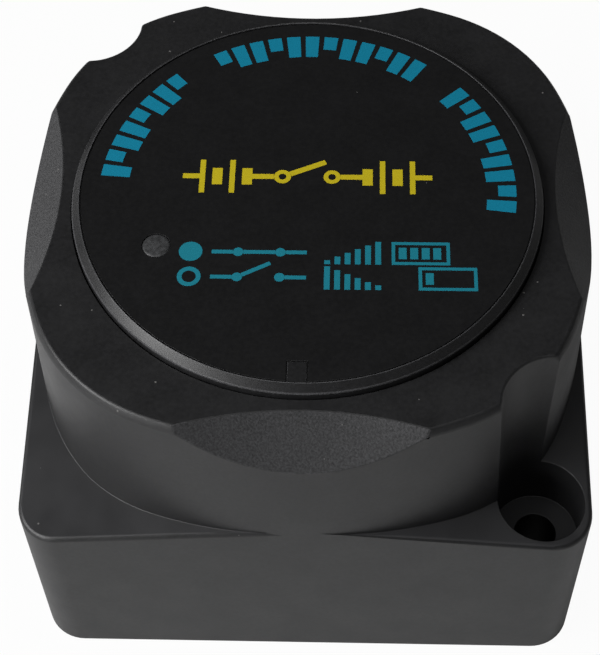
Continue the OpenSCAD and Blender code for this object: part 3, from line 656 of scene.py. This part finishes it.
class RELAY_OT_housing(bpy.types.Operator):
    """Moulded housing with rounded edges and rough scoops"""

    bl_idname = "relay.housing"
    bl_label = "Housing"

    def execute(self, context):
        bm = merged("housing")
        scoop = bm.faces.layers.float.new("spark")
        for face in bm.faces:
            face[scoop] = float(in_scoop(face.calc_center_median()))
        weigh(bm, lambda edge, mid: housing_edge(edge, mid, scoop))
        made = piece("housing_shell", bm, moulded_plastic("housing_black", colours().moulding, 0.42),
                     stands_for=["housing"])
        round_weighted(made, 1.0)
        return {"FINISHED"}


class RELAY_OT_cap(bpy.types.Operator):
    """Round cap with its sloping rim and key tab"""

    bl_idname = "relay.cap"
    bl_label = "Cap"

    def execute(self, context):
        rim_from, rim_round, inner_share = 27.0, 0.16, 0.28
        material = moulded_plastic("cap_black", colours().moulding, 0.38, grain=0.12)
        bm = merged("top_cap")
        weigh(bm, lambda edge, mid: 1.0 if math.hypot(mid.x, mid.y) > rim_from else inner_share)
        made = piece("cap_body", bm, material, stands_for=["top_cap"])
        # Painted highlight: the rounded edges of the cap get a plastic four times lighter, standing in for
        # the light they catch
        painted_highlight = moulded_plastic("cap_edge_painted_highlight", shade(colours().moulding, 4.0), 0.34, dust_and_painted_light=False)
        made.data.materials.append(painted_highlight)
        round_weighted(made, rim_round).material = 1
        return {"FINISHED"}


class RELAY_OT_label(bpy.types.Operator):
    """Label film and the signs printed on it"""

    bl_idname = "relay.label"
    bl_label = "Label"

    def execute(self, context):
        dress("label_disc", label_film(), 0.04)
        sunk = 0.005
        low = level("label_disc")[1]
        high = low + sizes().ink_depth / MM
        for name, draw, colour in (("scale_blue", self.scale, colours().blue_ink),
                                   ("circuit_yellow", self.circuit, colours().yellow_ink),
                                   ("signs_cyan", self.signs, colours().cyan_ink)):
            bm = bmesh.new()
            draw(bm, low - sunk, high)
            piece("label_" + name, bm, screen_ink(name, colour))
        return {"FINISHED"}

    def scale(self, bm, low, high):
        """An arched scale of blocks, one long and two short by turns, in three groups."""
        start, end, count, gaps = 175.6, -9.0, 33, (8, 9, 22, 23)
        outer, long_inner, short_inner, filled = 24.3, 20.9, 22.2, 0.72
        step = (start - end) / count
        for i in (i for i in range(count) if i not in gaps):
            at = start - i * step
            inner = short_inner if i % 3 == 1 else long_inner
            arc_block(bm, inner, outer, low, high, at - step * filled, at)

    def circuit(self, bm, low, high):
        """Two batteries and the open contact between them."""
        y, reach, thin, knob, eye, short, lift = 1.9, 2.45, 0.36, 1.0, 0.45, 0.3, 24.0
        joint, first, pitch, end = 2.9, 12.3, 1.75, 14.6
        plates = ((1.0, 0.32), (0.5, 0.6), (1.0, 0.32), (0.5, 0.6))
        last = first - 3 * pitch
        for side in (-1, 1):
            for inner, outer in ((first + plates[0][1], end), (joint + knob, last - plates[3][1])):
                x = sorted((side * inner, side * outer))
                block(bm, (x[0], y - thin, low), (x[1], y + thin, high))
            for i, (tall, wide) in enumerate(plates):
                x = side * (first - i * pitch)
                block(bm, (x - wide, y - reach * tall, low), (x + wide, y + reach * tall, high))
            turned(bm, [(eye, low), (knob, low), (knob, high), (eye, high)], 28, (side * joint, y))
        block(bm, (knob - joint, y - thin, low), (joint - short, y + thin, high), lift, (-joint, y))

    def signs(self, bm, low, high):
        """Two rows beside the window: contact closed and battery full, contact open and battery low."""
        reach, thin, line, knob = 1.6, 0.26, 0.4, 0.6
        disc_x, disc_r, hole_r = -13.0, 1.35, 0.8
        start, pivot, contact, end, lift = -10.6, -7.6, -2.8, 0.2, 28.0
        bars, bars_x, bar_step, bar_wide, least = 6, 2.2, 1.15, 0.66, 0.2
        case_wide, cell_step, cell_wide = 6.6, 1.3, 0.9
        for y, closed, right, cells in ((-9.1, True, 16.4, 4), (-12.6, False, 19.4, 1)):
            inner = 0.0 if closed else hole_r
            ring = [(inner, low), (disc_r, low), (disc_r, high), (inner, high)]
            turned(bm, ring, 28, (disc_x, y), not closed)
            for x in (pivot, contact):
                turned(bm, [(0.0, low), (knob, low), (knob, high), (0.0, high)], 20, (x, y), False)
            block(bm, (start, y - thin, low), (pivot - knob, y + thin, high))
            block(bm, (contact + knob, y - thin, low), (end, y + thin, high))
            block(bm, (pivot + knob, y - thin, low), (contact - knob, y + thin, high),
                  0.0 if closed else lift, (pivot, y))
            for i in range(bars):
                tall = (i + 1) / bars if closed else max(1 - i / bars, least)
                x = bars_x + i * bar_step
                block(bm, (x, y - reach, low), (x + bar_wide, y - reach + 2 * reach * tall, high))
            left = right - case_wide
            for x in (left, right - line):
                block(bm, (x, y - reach, low), (x + line, y + reach, high))
            for foot in (y - reach, y + reach - line):
                block(bm, (left + line, foot, low), (right - line, foot + line, high))
            for i in range(cells):
                x = left + 2 * line + i * cell_step
                block(bm, (x, y - reach + 2 * line, low), (x + cell_wide, y + reach - 2 * line, high))


class RELAY_OT_indicator(bpy.types.Operator):
    """Frosted window and the lamp under it"""

    bl_idname = "relay.indicator"
    bl_label = "Indicator"

    def execute(self, context):
        low, high = level("indicator_window")
        radius = radius_of("indicator_window")
        drops, insets, dome = (0.12, 0.03), (0.1, 0.35), 0.02
        bm = bmesh.new()
        turned(bm, [(0.0, low), (radius, low), (radius, high - drops[0]),
                    (radius - insets[0], high - drops[1]), (radius - insets[1], high),
                    (0.0, high + dome)], 48, middle("indicator_window"), False)
        piece("window_lens", bm, frosted_window(), stands_for=["indicator_window"])
        lamp_red = plain_polymer("lamp_red_epoxy", LAMP_RED, 0.2, 0.6, 0.001,
                                 {"Transmission Weight": 0.4})
        dress("status_lamp", lamp_red, 0.05)
        return {"FINISHED"}


class RELAY_OT_board(bpy.types.Operator):
    """Control board and what is soldered to it"""

    bl_idname = "relay.board"
    bl_label = "Control board"

    # Parts of black epoxy: node, material, rounding of the edges, axis along which the legs stand
    # out, length of a leg, and the height over the board up to which all is leg, if any
    PARTS = (("voltage_monitor_chip", "chip_black", 0.06, 1, 0.98, 0.18),
             ("coil_driver_transistor", "driver_black", 0.08, 1, 0.98, None),
             ("flyback_diode", "diode_black", 0.08, 0, 0.38, None),
             ("chip_resistors", "resistor_black", 0.04, 1, 0.45, None))

    def execute(self, context):
        dress("control_board", board_laminate(), 0.05, 1)
        dress("board_screws", metal("board_steel"), 0.12)
        for node, name, width, axis, leg, foot in self.PARTS:
            dress(node, epoxy_and_legs(name, self.legs(node, axis, leg, foot)), width)
        dress("smoothing_capacitors", metal("can_brushed"), 0.12)
        return {"FINISHED"}

    def legs(self, node, axis, leg, foot):
        """Makes what masks a part's legs: its ends along an axis, and all up to a height."""
        low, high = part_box(node)
        centre = middle(node)[axis]
        reach = (high[axis] - low[axis]) / 2 / MM - leg
        board_top = level("control_board")[1]

        def mask(f):
            ends = abs(f.axis(f.place, axis) - centre) > reach
            if foot is None:
                return ends
            return (ends + (f.axis(f.place, 2) < board_top + foot)).capped()
        return mask


class RELAY_OT_coil(bpy.types.Operator):
    """Bobbin, winding, yoke, core and guide"""

    bl_idname = "relay.coil"
    bl_label = "Coil"

    def execute(self, context):
        dress("coil_bobbin", plain_polymer("bobbin_nylon_cream", NYLON, 0.45), 0.12)
        zinc = metal("yoke_zinc_passivated")
        for node in ("yoke_frame", "yoke_plate"):
            dress(node, zinc, 0.25, 3)
        dress("fixed_core", metal("core_turned"), 0.2)
        dress("yoke_screws", metal("coil_steel"), 0.15)
        dress("coil_pins", metal("pin_tinned"), 0.08)
        dress("plunger_guide", metal("guide_brass"), 0.06)
        self.winding()
        return {"FINISHED"}

    def winding(self):
        """The outer layer of the winding, row by row, on a plain core."""
        thickness, arc = 4.0, (-1.35, -0.7, 0.0, 0.7, 1.35)
        low, high = level("coil_winding")
        radius = radius_of("coil_winding")
        inner = radius - thickness
        count = sizes().wire_turns
        wire = (high - low) / count / 2
        outline = [(inner, low)]
        for i in range(count):
            mid = low + (2 * i + 1) * wire
            outline += [(radius - wire + wire * math.cos(a), mid + wire * math.sin(a)) for a in arc]
        outline.append((inner, high))
        bm = bmesh.new()
        turned(bm, outline, 96)
        piece("winding_turns", bm, wound_wire(), stands_for=["coil_winding"], sharp=60)


class RELAY_OT_armature(bpy.types.Operator):
    """Plunger, rod, bush and the moving contacts"""

    bl_idname = "relay.armature"
    bl_label = "Armature"

    def execute(self, context):
        dress("plunger", metal("plunger_turned"), 0.3, 3)
        dress("push_rod", metal("rod_ground"), 0.12)
        dress("rod_clip", metal("clip_blued"), 0.08)
        dress("contact_bridge", metal("bridge_copper"), 0.3, 3)
        silver = metal("tip_silver")
        dress("moving_contact_tips", silver, 0.15)
        dress("fixed_contact_tips", silver, 0.15)
        nylon = plain_polymer("bush_nylon_cream", NYLON, 0.42)
        dress("bridge_bush", nylon, 0.15)
        dress("bridge_washer", nylon, 0.1)
        return {"FINISHED"}


class RELAY_OT_springs(bpy.types.Operator):
    """Return spring and contact spring of round wire"""

    bl_idname = "relay.springs"
    bl_label = "Springs"

    def execute(self, context):
        wire = metal("spring_wire")
        low, high = level("return_spring")
        bm = bmesh.new()
        swept_coil(bm, radius=3.65, wire=0.35, low=low, high=high, turns=5.0)
        coil = piece("return_coil", bm, wire, stands_for=["return_spring"], sharp=60)
        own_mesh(coil)
        low, high = level("contact_spring")
        bm = bmesh.new()
        swept_coil(bm, radius=2.35, wire=0.25, low=low, high=high, turns=3.5)
        piece("contact_coil", bm, wire, MOVING, ["contact_spring"], sharp=60)
        return {"FINISHED"}


class RELAY_OT_terminals(bpy.types.Operator):
    """Terminal studs with their threads, nuts and washers"""

    bl_idname = "relay.terminals"
    bl_label = "Terminals"

    def execute(self, context):
        copper = metal("stud_tinned_copper")
        for node in STUDS:
            self.stud(node, copper)
        nickel = metal("nut_nickel_plated")
        self.nuts(nickel)
        dress("flat_washers", nickel, 0.18)
        dress("spring_washers", metal("washer_spring_steel"), 0.18)
        dress("sense_straps", metal("strap_brass"), 0.1)
        return {"FINISHED"}

    def stud(self, node, material):
        """A square contact head over a shank with a rolled thread."""
        crest, root, neck, head_round, steps = 4.0, 3.38, 0.2, 0.35, 40
        low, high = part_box(node)
        x, y = middle(node)
        deck_top = level("deck_gasket")[0]
        bm = bmesh.new()
        block(bm, (low.x / MM, low.y / MM, deck_top), (high.x / MM, high.y / MM, high.z / MM))
        soften(bm, head_round, 3)
        pitch = sizes().thread_pitch / MM
        foot, top = low.z / MM, deck_top - neck
        # One tooth of the thread, as radius and share of the pitch
        tooth = ((root, 0.0), (root, 0.096), (crest, 0.4), (crest, 0.528), (root, 0.832), (root, 1.0))
        turns = math.ceil((top - foot) / pitch) + 2
        shank = bmesh.new()
        verts = [shank.verts.new(((x + r) * MM, y * MM, (foot - pitch + share * pitch) * MM))
                 for r, share in tooth]
        edges = [shank.edges.new(pair) for pair in zip(verts, verts[1:])]
        bmesh.ops.spin(shank, geom=verts + edges, cent=(x * MM, y * MM, 0), axis=UP,
                       dvec=(0, 0, pitch * MM / steps), angle=2 * math.pi * turns, steps=steps * turns,
                       use_merge=False, use_duplicate=False)
        bmesh.ops.remove_doubles(shank, verts=shank.verts[:], dist=WELD_GAP)
        for height, side in ((foot, -1), (top, 1)):
            cut = bmesh.ops.bisect_plane(shank, geom=shank.verts[:] + shank.edges[:] + shank.faces[:],
                                         plane_co=(0, 0, height * MM), plane_no=(0, 0, side),
                                         clear_outer=True)
            rim = [g for g in cut["geom_cut"] if isinstance(g, bmesh.types.BMEdge)]
            bmesh.ops.contextual_create(shank, geom=rim)
        mesh = bpy.data.meshes.new(node + "_shank")
        shank.to_mesh(mesh)
        shank.free()
        bm.from_mesh(mesh)
        bpy.data.meshes.remove(mesh)
        piece(node + "_threaded", bm, material, stands_for=[node], sharp=34)

    def nuts(self, material):
        """Hexagon nuts, their corners cut by a cone on both faces."""
        flat, bore, mouth, sink, wall_from = 6.5, 4.06, 4.5, 0.45, 5.0
        face, cone, sixth = flat * 0.97, math.radians(30), math.pi / 6
        low, high = level("terminal_nuts")
        bm = bmesh.new()
        for x in (middle(stud)[0] for stud in STUDS):
            rings = [bmesh.ops.create_circle(bm, cap_ends=False, radius=radius * MM, segments=48)["verts"]
                     for radius in (bore, mouth, face, flat)]
            for v in rings[-1]:
                turn = math.atan2(v.co.y, v.co.x)
                away = (turn + sixth) % (2 * sixth) - sixth
                reach = flat / math.cos(sixth - abs(away))
                v.co = Vector((math.cos(turn), math.sin(turn), 0)) * reach * MM
            faces = []
            for inner, outer in zip(rings, rings[1:]):
                edges = [e for e in bm.edges if len(e.link_faces) < 2
                         and (set(inner).issuperset(e.verts) or set(outer).issuperset(e.verts))]
                faces += bmesh.ops.bridge_loops(bm, edges=edges)["faces"]
            for v in rings[0]:
                v.co.z -= sink * MM
            for v in rings[-1]:
                v.co.z -= max(0.0, v.co.xy.length / MM - face) * math.tan(cone) * MM
            top = [v for ring in rings for v in ring]
            bmesh.ops.translate(bm, verts=top, vec=(x * MM, 0, high * MM))
            centre = Vector((x * MM, 0, (low + high) / 2 * MM))
            copy = bmesh.ops.duplicate(bm, geom=top + faces)
            under = [g for g in copy["geom"] if isinstance(g, bmesh.types.BMVert)]
            bmesh.ops.scale(bm, verts=under, vec=(1, 1, -1), space=Matrix.Translation(-centre))
            rims = [e for e in bm.edges if len(e.link_faces) == 1 and set(top + under).issuperset(e.verts)]
            for inside in (True, False):
                bmesh.ops.bridge_loops(bm, edges=[
                    e for e in rims
                    if all(((w.co.xy - centre.xy).length < wall_from * MM) == inside for w in e.verts)])
        piece("hex_nuts", bm, material, stands_for=["terminal_nuts"], sharp=24)


class RELAY_OT_deck(bpy.types.Operator):
    """Contact deck, gasket, screws and the gland"""

    bl_idname = "relay.deck"
    bl_label = "Contact deck"

    def execute(self, context):
        phenolic = moulded_plastic("deck_black", shade(colours().moulding, 1.5), 0.5, dust_and_painted_light=False)
        dress("contact_deck", phenolic, 0.2)
        dress("deck_screws", metal("deck_screw_zinc"), 0.18)
        rubber = plain_polymer("rubber_black", RUBBER, 0.65)
        dress("deck_gasket", rubber, 0.1)
        dress("earth_wire_gland", rubber, 0.25, 3)
        return {"FINISHED"}


# Camera as solved from the photo's outline: lens and sensor in millimetres, place in metres, and
# the directions to its right, up and back
SENSOR = 36.0
LENS = 92.31
LENS_SHIFT = -0.0214
CLIP = (0.01, 10.0)
CAMERA_PLACE = (0.005055, -0.12224, 0.20493)
CAMERA_AXES = ((0.99951, 0.02599, -0.01753), (-0.01154, 0.82509, 0.56489), (0.02915, -0.56441, 0.82498))

# Lamps: name, place and side in metres, power in watts; all aim at one point
LAMPS = (("key", (-0.42, -0.16, 0.37), 0.30, 2.7),
         ("front", (-0.30, -0.36, 0.17), 0.16, 0.40),
         ("over", (0.0, -0.10, 0.65), 0.30, 0.35))
LAMP_AIM = Vector((0.0, 0.0, 0.03))

WHITE = (1.0, 1.0, 1.0, 1.0)
# The world's even light, the share of its white that glossy rays meet, and the heights between
# which that white fades
SOFT_LIGHT = 0.035
GLOSSY_WHITE = 0.12
WALL_FADE = (0.35, 0.75)
# Half the floor's side and its drop under the relay, in metres, and its share of plain white as
# camera, glossy and transmission rays see it
FLOOR_HALF = 1.5
FLOOR_DROP = 0.02 * MM
FLOOR_WHITE = (0.96, 0.08, 0.8)


def lamp(name, place, side, power):
    """A soft square lamp."""
    data = bpy.data.lights.new(name, "AREA")
    data.shape = "RECTANGLE"
    data.size = data.size_y = side
    data.energy = power
    made = bpy.data.objects.new(name, data)
    made.location = place
    made.rotation_euler = (LAMP_AIM - Vector(place)).to_track_quat("-Z", "Y").to_euler()
    bpy.context.collection.objects.link(made)


class RELAY_OT_stage(bpy.types.Operator):
    """Pale floor, soft studio light and the camera"""

    bl_idname = "relay.stage"
    bl_label = "Stage"

    def execute(self, context):
        self.floor()
        self.studio()
        self.camera(context)
        context.scene.view_settings.view_transform = "Standard"
        return {"FINISHED"}

    def floor(self):
        bm = bmesh.new()
        bmesh.ops.create_grid(bm, x_segments=1, y_segments=1, size=FLOOR_HALF)
        mesh = bpy.data.meshes.new("floor")
        bm.to_mesh(mesh)
        bm.free()
        f = Finish("floor_pale")
        camera, glossy, through = (ray * share for ray, share in zip(f.rays(), FLOOR_WHITE))
        pale = f.node("ShaderNodeBsdfDiffuse", {}, {"Color": (*colours().floor, 1.0)})
        glow = f.node("ShaderNodeEmission", {}, {"Color": WHITE, "Strength": 1.0})
        f.surface(f.node("ShaderNodeMixShader", {}, {0: camera + glossy + through, 1: pale, 2: glow}))
        mesh.materials.append(f.material)
        made = bpy.data.objects.new("floor", mesh)
        made.location.z = -FLOOR_DROP
        bpy.context.collection.objects.link(made)

    def studio(self):
        world = bpy.data.worlds.new("studio")
        world.use_nodes = True
        sky = Shading(world.node_tree)
        camera, glossy, through = sky.rays()
        height = sky.axis(sky.node("ShaderNodeTexCoord", {}, {}, "Generated"), 2)
        wall = sky.node("ShaderNodeMapRange", {}, {"Value": height, "From Min": WALL_FADE[0],
                                                   "From Max": WALL_FADE[1], "To Min": 1.0, "To Max": 0.0})
        seen = camera + (glossy * GLOSSY_WHITE + through) * wall
        soft = sky.node("ShaderNodeBackground", {}, {"Color": WHITE, "Strength": SOFT_LIGHT})
        white = sky.node("ShaderNodeBackground", {}, {"Color": WHITE, "Strength": 1.0})
        sky.surface(sky.node("ShaderNodeMixShader", {}, {0: seen.capped(), 1: soft, 2: white}))
        bpy.context.scene.world = world
        for settings in LAMPS:
            lamp(*settings)

    def camera(self, context):
        data = bpy.data.cameras.new("camera")
        data.sensor_fit = "AUTO"
        data.sensor_width = SENSOR
        data.lens = LENS
        data.shift_y = LENS_SHIFT
        data.clip_start, data.clip_end = CLIP
        made = bpy.data.objects.new("camera", data)
        made.matrix_world = (Matrix.Translation(CAMERA_PLACE)
                             @ Matrix(CAMERA_AXES).transposed().to_4x4())
        context.collection.objects.link(made)
        context.scene.camera = made


class RELAY_PT_sidebar(bpy.types.Panel):
    """Sizes, colours and steps of the relay"""

    bl_idname = "RELAY_PT_sidebar"
    bl_label = "Battery isolator relay"
    bl_space_type = "VIEW_3D"
    bl_region_type = "UI"
    bl_category = "Relay"

    def draw(self, context):
        for group in (context.scene.relay_sizes, context.scene.relay_colours):
            for name in group.__annotations__:
                self.layout.prop(group, name)
        for step in STEPS:
            self.layout.operator(step.bl_idname)


STEPS = (RELAY_OT_housing, RELAY_OT_cap, RELAY_OT_label, RELAY_OT_indicator, RELAY_OT_board, RELAY_OT_coil,
         RELAY_OT_armature, RELAY_OT_springs, RELAY_OT_terminals, RELAY_OT_deck, RELAY_OT_stage)
CLASSES = (RelaySizes, RelayColours) + STEPS + (RELAY_PT_sidebar,)


def register():
    for kind in CLASSES:
        bpy.utils.register_class(kind)
    bpy.types.Scene.relay_sizes = PointerProperty(type=RelaySizes)
    bpy.types.Scene.relay_colours = PointerProperty(type=RelayColours)


def unregister():
    del bpy.types.Scene.relay_colours
    del bpy.types.Scene.relay_sizes
    for kind in reversed(CLASSES):
        bpy.utils.unregister_class(kind)


def main():
    register()
    for step in STEPS:
        group, name = step.bl_idname.split(".")
        getattr(getattr(bpy.ops, group), name)()


if __name__ == "__main__":
    main()
